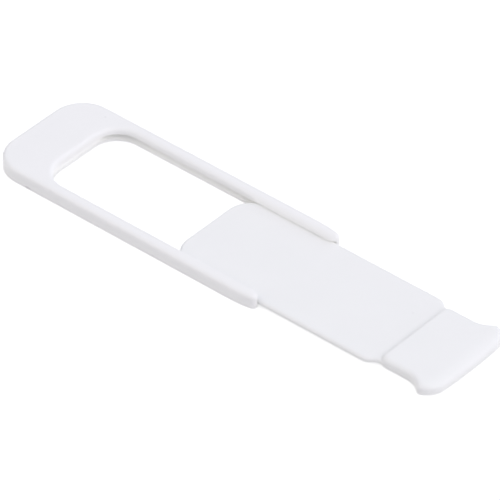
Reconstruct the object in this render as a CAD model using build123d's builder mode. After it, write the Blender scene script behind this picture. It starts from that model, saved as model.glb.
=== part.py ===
"""Webcam cover slider: a U-shaped frame, a slider with a raised pull tab, and its adhesive tape.

The frame lies flat with its arms along +X. The origin is the middle of its closed end, on the face
that sticks to the screen. The slider is drawn pulled open. Sizes are in millimetres.
"""
import os
from math import acos, degrees, hypot, sqrt

from build123d import *

# Frame
frame_length = 35.45
frame_width = 14.0
frame_thickness = 1.55
end_corner_radius = 3.7
end_band = 6.1
arm_width = 1.4
window_corner_radius = 2.9
frame_edge_radius = 0.42

# Arm tips: a slow taper outside, a round point and a rounded inside
taper_length = 3.0
taper_radius = 14.0
tip_radius = 0.47
tip_inner_radius = 1.4

# Slot inside the frame, round all three sides of the window
lower_lip = 0.23
slot_height = 0.62
slot_depth = 0.52
slot_end_depth = 0.28
slot_corner_radius = 1.8

# Fits between slider and frame
slot_clearance = 0.06
side_clearance = 0.09
end_clearance = 0.10
flare_clearance = 0.59
tab_side_clearance = 0.36
travel = 17.71

# Slider plate
plate_corner_radius = 2.8
plate_edge_radius = 0.30
shoulder_radius = 1.3
shoulder_overlap = 0.30

# Pull tab, thicker than the plate on both faces and clear of the surface below the frame
tab_lift = 0.10
tab_thickness = 1.06
tab_edge_radius = 0.45
tab_back_corner_radius = 0.80
neck_length = 3.48
crown_length = 1.6
crown_drop = 0.22
flare_radius = 2.7
tail_length = 4.0
tail_width = 12.7
tail_corner_radius = 2.4
tail_point_radius = 0.60
tail_end_radius = 70.0

# Adhesive tape
tape_thickness = 0.15
tape_inset = 0.25

# Heights, from the surface that the tape sticks to
frame_floor = tape_thickness
slot_floor = frame_floor + lower_lip
plate_floor = slot_floor + slot_clearance
plate_thickness = slot_height - 2 * slot_clearance
tab_floor = frame_floor + tab_lift
tab_top = tab_floor + tab_thickness

# Half widths, from the centre line
frame_half = frame_width / 2
window_half = frame_half - arm_width
slot_half = window_half + slot_depth
plate_half = slot_half - side_clearance
tab_half = window_half - tab_side_clearance
tail_half = tail_width / 2

# Places along the frame
closed_end = -end_band / 2
window_start = end_band / 2
slot_start = window_start - slot_end_depth
arm_end = closed_end + frame_length
taper_start = arm_end - taper_length


def toward(start, target, distance):
    """The point at a distance from start on the way to target."""
    reach = hypot(target[0] - start[0], target[1] - start[1])
    return tuple(s + (t - s) * distance / reach for s, t in zip(start, target))


# The tip's circle touches the frame's end, the taper's circle and the inner rounding's circle.
# The inner rounding's circle touches the window's side.
taper_centre = (taper_start, frame_half - taper_radius)
tip_x = arm_end - tip_radius
tip_y = taper_centre[1] + sqrt((taper_radius - tip_radius) ** 2 - (tip_x - taper_start) ** 2)
inner_y = window_half + tip_inner_radius
inner_x = tip_x - sqrt((tip_inner_radius - tip_radius) ** 2 - (inner_y - tip_y) ** 2)
taper_end = toward(taper_centre, (tip_x, tip_y), taper_radius)
tip_end = toward((inner_x, inner_y), (tip_x, tip_y), tip_inner_radius)
inner_end = (inner_x, window_half)

# Frame, as half a U outline mirrored about its centre line
with BuildPart() as frame:
    with BuildSketch(Plane.XY.offset(frame_floor)) as frame_outline:
        end_corner = (closed_end, frame_half)
        window_corner = (window_start, window_half)
        with BuildLine():
            Polyline((closed_end, 0), end_corner, (taper_start, frame_half))
            RadiusArc((taper_start, frame_half), taper_end, taper_radius)
            RadiusArc(taper_end, tip_end, tip_radius)
            RadiusArc(tip_end, inner_end, tip_inner_radius)
            Polyline(inner_end, window_corner, (window_start, 0), (closed_end, 0))
        make_face()
        fillet(frame_outline.vertices().sort_by_distance(end_corner)[0], end_corner_radius)
        fillet(frame_outline.vertices().sort_by_distance(window_corner)[0], window_corner_radius)
        mirror(about=Plane.XZ)
    extrude(amount=frame_thickness)
    fillet(frame.faces().sort_by(Axis.Z)[-1].edges(), frame_edge_radius)
    with BuildSketch(Plane.XY.offset(slot_floor)) as slot_outline:
        with Locations((slot_start, 0)):
            Rectangle(frame_length, 2 * slot_half, align=(Align.MIN, Align.CENTER))
        fillet(slot_outline.vertices().group_by(Axis.X)[0], slot_corner_radius)
    extrude(amount=slot_height, mode=Mode.SUBTRACT)
frame.part.label = "frame"

# Slider: where it stands along the frame, and the places along its outline
plate_start = slot_start + end_clearance + travel
flare_start = arm_end + flare_clearance + travel
flare_centre_y = tab_half + flare_radius
tab_start = flare_start - neck_length
tail_end = flare_start + tail_length
crown_start = tail_end - crown_length
crown_radius = (crown_length**2 + crown_drop**2) / (2 * crown_drop)
shoulder_drop = plate_half - tab_half
shoulder_turn = acos(1 - shoulder_drop / (2 * shoulder_radius))
shoulder_end = tab_start + shoulder_overlap
shoulder_start = shoulder_end - sqrt(shoulder_drop * (4 * shoulder_radius - shoulder_drop))

# The tail's corner circle touches the tail's end arc from inside, and crosses the flare's circle
end_centre = (tail_end - tail_end_radius, 0)
corner_y = tail_half - tail_corner_radius
corner_x = end_centre[0] + sqrt((tail_end_radius - tail_corner_radius) ** 2 - corner_y**2)
end_arc_start = toward(end_centre, (corner_x, corner_y), tail_end_radius)
span_x = corner_x - flare_start
span_y = corner_y - flare_centre_y
span = hypot(span_x, span_y)
along = (flare_radius**2 - tail_corner_radius**2 + span**2) / (2 * span)
across = sqrt(flare_radius**2 - along**2)
tail_point = (
    flare_start + (along * span_x - across * span_y) / span,
    flare_centre_y + (along * span_y + across * span_x) / span,
)

with BuildPart() as slider:
    with BuildSketch(Plane.XY.offset(plate_floor)) as plate_outline:
        plate_corner = (plate_start, plate_half)
        with BuildLine():
            Polyline((plate_start, 0), plate_corner, (shoulder_start, plate_half))
            crest = JernArc(
                (shoulder_start, plate_half), (1, 0), shoulder_radius, -degrees(shoulder_turn)
            )
            JernArc(crest @ 1, crest % 1, shoulder_radius, degrees(shoulder_turn))
            Polyline((shoulder_end, tab_half), (flare_start, tab_half), (flare_start, 0))
            Line((flare_start, 0), (plate_start, 0))
        make_face()
        fillet(plate_outline.vertices().sort_by_distance(plate_corner)[0], plate_corner_radius)
        mirror(about=Plane.XZ)
    extrude(amount=plate_thickness)
    plate_rim = slider.faces().sort_by(Axis.Z)[-1].edges().sort_by(Axis.X)[:-1]
    fillet(plate_rim, plate_edge_radius)
    with BuildSketch(Plane.XY.offset(tab_floor)) as tab_outline:
        tab_corner = (tab_start, tab_half)
        with BuildLine():
            Polyline((tab_start, 0), tab_corner, (flare_start, tab_half))
            RadiusArc((flare_start, tab_half), tail_point, -flare_radius)
            RadiusArc(tail_point, end_arc_start, tail_corner_radius)
            RadiusArc(end_arc_start, (tail_end, 0), tail_end_radius)
            Line((tail_end, 0), (tab_start, 0))
        make_face()
        fillet(tab_outline.vertices().sort_by_distance(tab_corner)[0], tab_back_corner_radius)
        fillet(tab_outline.vertices().sort_by_distance(tail_point)[0], tail_point_radius)
        mirror(about=Plane.XZ)
    extrude(amount=tab_thickness)
    with BuildSketch(Plane.XZ) as crown_cut:
        with Locations((crown_start, tab_top - crown_radius)):
            Rectangle(crown_radius, crown_radius + crown_drop, align=(Align.MIN, Align.MIN))
            Circle(crown_radius, mode=Mode.SUBTRACT)
    extrude(amount=tail_half, both=True, mode=Mode.SUBTRACT)
    level_face = slider.faces().filter_by(Axis.Z).sort_by(Axis.Z)[-1]
    crown_face = slider.faces().filter_by(GeomType.CYLINDER).sort_by(Axis.Z)[-1]
    seam = level_face.edges() & crown_face.edges()
    fillet(level_face.edges() + crown_face.edges() - seam, tab_edge_radius)
slider.part.label = "slider"

# Adhesive tape, die-cut to the frame's outline and set in from its edges
with BuildPart() as adhesive_tape:
    with BuildSketch() as tape_outline:
        add(frame_outline.sketch_local)
        offset(amount=-tape_inset, mode=Mode.REPLACE)
    extrude(amount=tape_thickness)
adhesive_tape.part.label = "adhesive_tape"

os.makedirs("parts", exist_ok=True)
for piece in (frame, slider, adhesive_tape):
    export_step(piece.part, f"parts/{piece.part.label}.step")
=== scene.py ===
import math

import bpy
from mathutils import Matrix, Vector


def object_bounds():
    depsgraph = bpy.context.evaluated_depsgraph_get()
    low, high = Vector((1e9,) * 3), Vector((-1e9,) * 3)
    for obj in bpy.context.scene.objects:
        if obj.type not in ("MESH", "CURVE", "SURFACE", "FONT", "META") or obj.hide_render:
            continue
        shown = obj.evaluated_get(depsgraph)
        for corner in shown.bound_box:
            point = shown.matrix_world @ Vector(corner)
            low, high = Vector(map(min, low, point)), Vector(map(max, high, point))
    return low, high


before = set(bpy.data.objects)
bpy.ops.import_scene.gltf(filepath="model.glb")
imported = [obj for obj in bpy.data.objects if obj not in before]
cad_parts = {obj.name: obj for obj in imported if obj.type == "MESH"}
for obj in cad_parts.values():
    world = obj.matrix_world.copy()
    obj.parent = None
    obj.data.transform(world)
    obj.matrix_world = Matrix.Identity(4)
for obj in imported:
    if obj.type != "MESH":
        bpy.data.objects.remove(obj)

cad_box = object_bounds()
scene = bpy.context.scene

# Metres to millimetres, so that the textures' scales are per millimetre
TO_MM = 1000.0

# White plastic: each piece's lightest and darkest white, and the range of its gloss
FRAME_WHITES = ((0.955, 0.955, 0.940), (0.949, 0.949, 0.934))
SLIDER_WHITES = ((0.934, 0.939, 0.921), (0.928, 0.933, 0.915))
PLASTIC_ROUGHNESS = (0.40, 0.46)
PLASTIC_IOR = 1.49

# Dark specks on the plastic, dust on the top faces and a darker stretch of the near wall's bottom
# edge: their colour, and each speck's place in millimetres, radius and depth
SPECK_GREY = (0.42, 0.40, 0.42)
FRAME_TOP = cad_box[1].z * TO_MM
NEAR_SIDE = cad_box[0].y * TO_MM
FRAME_SPECKS = (
    ((1.79, 5.58, FRAME_TOP), 0.16, 0.16),
    # These three specks darken a short stretch of the near wall's bottom edge, just above the floor
    ((2.30, NEAR_SIDE, 0.29), 0.20, 0.38),
    ((2.50, NEAR_SIDE, 0.31), 0.20, 0.34),
    ((2.70, NEAR_SIDE, 0.30), 0.20, 0.24),
)
SLIDER_SPECKS = (
    ((45.25, 2.41, 0.94), 0.20, 0.06),
)
# The share of a speck's radius that has its full depth
SPECK_CORE = 0.4

# Adhesive tape
TAPE_WHITES = ((0.82, 0.82, 0.80), (0.74, 0.73, 0.70))
TAPE_ROUGHNESS = (0.45, 0.70)

# Floor: half its side, its colour, and the light that lifts it to white where it is seen
FLOOR_HALF = 3.0
FLOOR_COLOUR = (0.64, 0.64, 0.64)
FLOOR_LIFT = 0.7

# Studio light: the sky's colour, and each soft lamp's azimuth, power and colour
SKY = (0.287, 0.300, 0.367)
LAMPS = (
    ("right", 90.0, 13.3, (1.0, 0.968, 0.965)),
    ("back", 180.0, 7.9, (0.928, 0.963, 1.0)),
    ("left", 315.0, 9.6, (1.0, 0.952, 0.868)),
)
LAMP_ELEVATION = 35.0
LAMP_DISTANCE = 1.4
LAMP_SIZE = 1.8

# White plastic passes light on many times inside the slot
LIGHT_BOUNCES = 32

# Camera, from the vanishing lines of the frame in the photograph
IMAGE_SIZE = 500
FOCAL_PIXELS = 5803.9
SENSOR_WIDTH = 36.0
CAMERA_AZIMUTH = 40.7096
CAMERA_ELEVATION = 38.7621
CAMERA_PLACE = Vector((0.321253, -0.342976, 0.363658))
CLIP_START = 0.01
CLIP_END = 10.0


def direction(azimuth, elevation):
    """The unit vector from the object towards an azimuth, from -Y round by +X, and an elevation."""
    turn = math.radians(azimuth)
    rise = math.radians(elevation)
    level = math.cos(rise)
    return Vector((math.sin(turn) * level, -math.cos(turn) * level, math.sin(rise)))


def looking_back(outward):
    """The rotation of a lamp or camera that stands in a direction and looks back along it."""
    return outward.to_track_quat("Z", "Y").to_euler()


def opaque(colour):
    return (*colour, 1.0)


class Nodes:
    """Adds nodes to one tree and links them by socket names."""

    # A mix node's colour sockets, which share their names with its other sockets
    MIX_FIRST = 6
    MIX_SECOND = 7
    MIX_RESULT = 2

    def __init__(self, tree):
        self.tree = tree
        tree.nodes.clear()

    def add(self, kind, settings=None, **inputs):
        node = self.tree.nodes.new(kind)
        for name, value in (settings or {}).items():
            setattr(node, name, value)
        for name, value in inputs.items():
            self.put(node.inputs[name.replace("_", " ")], value)
        return node

    def put(self, socket, value):
        if isinstance(value, bpy.types.NodeSocket):
            self.tree.links.new(value, socket)
        else:
            socket.default_value = value

    def larger(self, first, second):
        node = self.add("ShaderNodeMath", {"operation": "MAXIMUM"})
        self.put(node.inputs[0], first)
        self.put(node.inputs[1], second)
        return node.outputs["Value"]

    def ramp(self, value, low, high, to_low=0.0, to_high=1.0):
        node = self.add(
            "ShaderNodeMapRange",
            {"interpolation_type": "SMOOTHSTEP"},
            Value=value,
            From_Min=low,
            From_Max=high,
            To_Min=to_low,
            To_Max=to_high,
        )
        return node.outputs["Result"]

    def mix(self, factor, first, second):
        node = self.add("ShaderNodeMix", {"data_type": "RGBA"}, Factor=factor)
        self.put(node.inputs[self.MIX_FIRST], first)
        self.put(node.inputs[self.MIX_SECOND], second)
        return node.outputs[self.MIX_RESULT]

    def millimetres(self):
        place = self.add("ShaderNodeTexCoord").outputs["Object"]
        scaled = self.add("ShaderNodeVectorMath", {"operation": "SCALE"}, Vector=place, Scale=TO_MM)
        return scaled.outputs["Vector"]

    def distance(self, place, centre):
        gap = self.add("ShaderNodeVectorMath", {"operation": "DISTANCE"}, Vector=place)
        gap.inputs[1].default_value = centre
        return gap.outputs["Value"]

    def seen(self):
        """1 where the camera sees a surface, itself or in a reflection or through something."""
        path = self.add("ShaderNodeLightPath")
        either = self.larger(path.outputs["Is Camera Ray"], path.outputs["Is Glossy Ray"])
        return self.larger(either, path.outputs["Is Transmission Ray"])

    def noise(self, place, scale, detail, roughness=0.5):
        node = self.add(
            "ShaderNodeTexNoise", Vector=place, Scale=scale, Detail=detail, Roughness=roughness
        )
        return node.outputs["Fac"]


def new_material(name):
    material = bpy.data.materials.new(name)
    material.use_nodes = True
    return material, Nodes(material.node_tree)


def moulded_plastic(name, whites, specks):
    """White satin plastic: a faint cloud in its colour, a fine spark-eroded grain, and the dark specks
    it is given.
    """
    material, n = new_material(name)
    lightest, darkest = whites
    smoothest, roughest = PLASTIC_ROUGHNESS
    place = n.millimetres()
    cloud = n.noise(place, scale=0.22, detail=3.0, roughness=0.55)
    colour = n.mix(n.ramp(cloud, low=0.35, high=0.65), opaque(darkest), opaque(lightest))
    for centre, radius, depth in specks:
        gap = n.distance(place, centre)
        mask = n.ramp(gap, low=radius * SPECK_CORE, high=radius, to_low=depth, to_high=0.0)
        colour = n.mix(mask, colour, opaque(SPECK_GREY))
    grain = n.noise(place, scale=7.0, detail=3.0, roughness=0.6)
    sheen = n.noise(place, scale=0.9, detail=2.0)
    bump = n.add("ShaderNodeBump", Strength=0.02, Distance=0.00002, Height=grain)
    shader = n.add(
        "ShaderNodeBsdfPrincipled",
        Base_Color=colour,
        Roughness=n.ramp(sheen, low=0.3, high=0.7, to_low=smoothest, to_high=roughest),
        IOR=PLASTIC_IOR,
        Normal=bump.outputs["Normal"],
    )
    n.add("ShaderNodeOutputMaterial", Surface=shader.outputs["BSDF"])
    return material


def tacky_tape(name):
    """Double-sided tape: dull white, with the small pits and fibres of its tacky face."""
    material, n = new_material(name)
    lightest, darkest = TAPE_WHITES
    smoothest, roughest = TAPE_ROUGHNESS
    fibres = n.noise(n.millimetres(), scale=3.5, detail=5.0, roughness=0.65)
    colour = n.mix(n.ramp(fibres, low=0.35, high=0.7), opaque(darkest), opaque(lightest))
    bump = n.add("ShaderNodeBump", Strength=0.25, Distance=0.00004, Height=fibres)
    shader = n.add(
        "ShaderNodeBsdfPrincipled",
        Base_Color=colour,
        Roughness=n.ramp(fibres, low=0.3, high=0.7, to_low=smoothest, to_high=roughest),
        Normal=bump.outputs["Normal"],
    )
    n.add("ShaderNodeOutputMaterial", Surface=shader.outputs["BSDF"])
    return material


def floor_white(name):
    """Matt floor that keeps shadows and is lifted to white only where it is seen."""
    material, n = new_material(name)
    matt = n.add("ShaderNodeBsdfDiffuse", Color=opaque(FLOOR_COLOUR)).outputs["BSDF"]
    lift = n.add("ShaderNodeEmission", Strength=FLOOR_LIFT).outputs["Emission"]
    lifted = n.add("ShaderNodeAddShader")
    n.put(lifted.inputs[0], matt)
    n.put(lifted.inputs[1], lift)
    choice = n.add("ShaderNodeMixShader", Fac=n.seen())
    n.put(choice.inputs[1], matt)
    n.put(choice.inputs[2], lifted.outputs["Shader"])
    n.add("ShaderNodeOutputMaterial", Surface=choice.outputs["Shader"])
    material.cycles.emission_sampling = "NONE"
    return material


def dress(node, material):
    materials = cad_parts[node].data.materials
    materials.clear()
    materials.append(material)


dress("frame", moulded_plastic("frame_white", FRAME_WHITES, FRAME_SPECKS))
dress("slider", moulded_plastic("slider_white", SLIDER_WHITES, SLIDER_SPECKS))
dress("adhesive_tape", tacky_tape("tape_white"))

# Floor
floor_mesh = bpy.data.meshes.new("floor")
floor_mesh.from_pydata(
    [(x * FLOOR_HALF, y * FLOOR_HALF, 0.0) for x, y in ((-1, -1), (1, -1), (1, 1), (-1, 1))],
    [],
    [(0, 1, 2, 3)],
)
floor = bpy.data.objects.new("floor", floor_mesh)
scene.collection.objects.link(floor)
floor_mesh.materials.append(floor_white("floor_white"))

# World
world = bpy.data.worlds.new("studio")
scene.world = world
world.use_nodes = True
n = Nodes(world.node_tree)
sky = n.add("ShaderNodeBackground", Color=opaque(SKY))
n.add("ShaderNodeOutputWorld", Surface=sky.outputs["Background"])

# Lamps
middle = (cad_box[0] + cad_box[1]) / 2
for name, azimuth, power, colour in LAMPS:
    lamp = bpy.data.lights.new(name, "AREA")
    lamp.shape = "DISK"
    lamp.size = LAMP_SIZE
    lamp.energy = power
    lamp.color = colour
    softbox = bpy.data.objects.new(name, lamp)
    outward = direction(azimuth, LAMP_ELEVATION)
    softbox.location = middle + outward * LAMP_DISTANCE
    softbox.rotation_euler = looking_back(outward)
    scene.collection.objects.link(softbox)

# Camera
camera = bpy.data.objects.new("camera", bpy.data.cameras.new("camera"))
scene.collection.objects.link(camera)
camera.data.sensor_width = SENSOR_WIDTH
camera.data.lens = SENSOR_WIDTH * FOCAL_PIXELS / IMAGE_SIZE
camera.data.clip_start = CLIP_START
camera.data.clip_end = CLIP_END
camera.location = CAMERA_PLACE
camera.rotation_euler = looking_back(direction(CAMERA_AZIMUTH, CAMERA_ELEVATION))
scene.camera = camera

scene.view_settings.view_transform = "Standard"
scene.cycles.max_bounces = LIGHT_BOUNCES
scene.cycles.diffuse_bounces = LIGHT_BOUNCES

# The window's lips are about a pixel wide, too thin for normals to guide the denoiser
scene.cycles.denoising_input_passes = "RGB_ALBEDO"
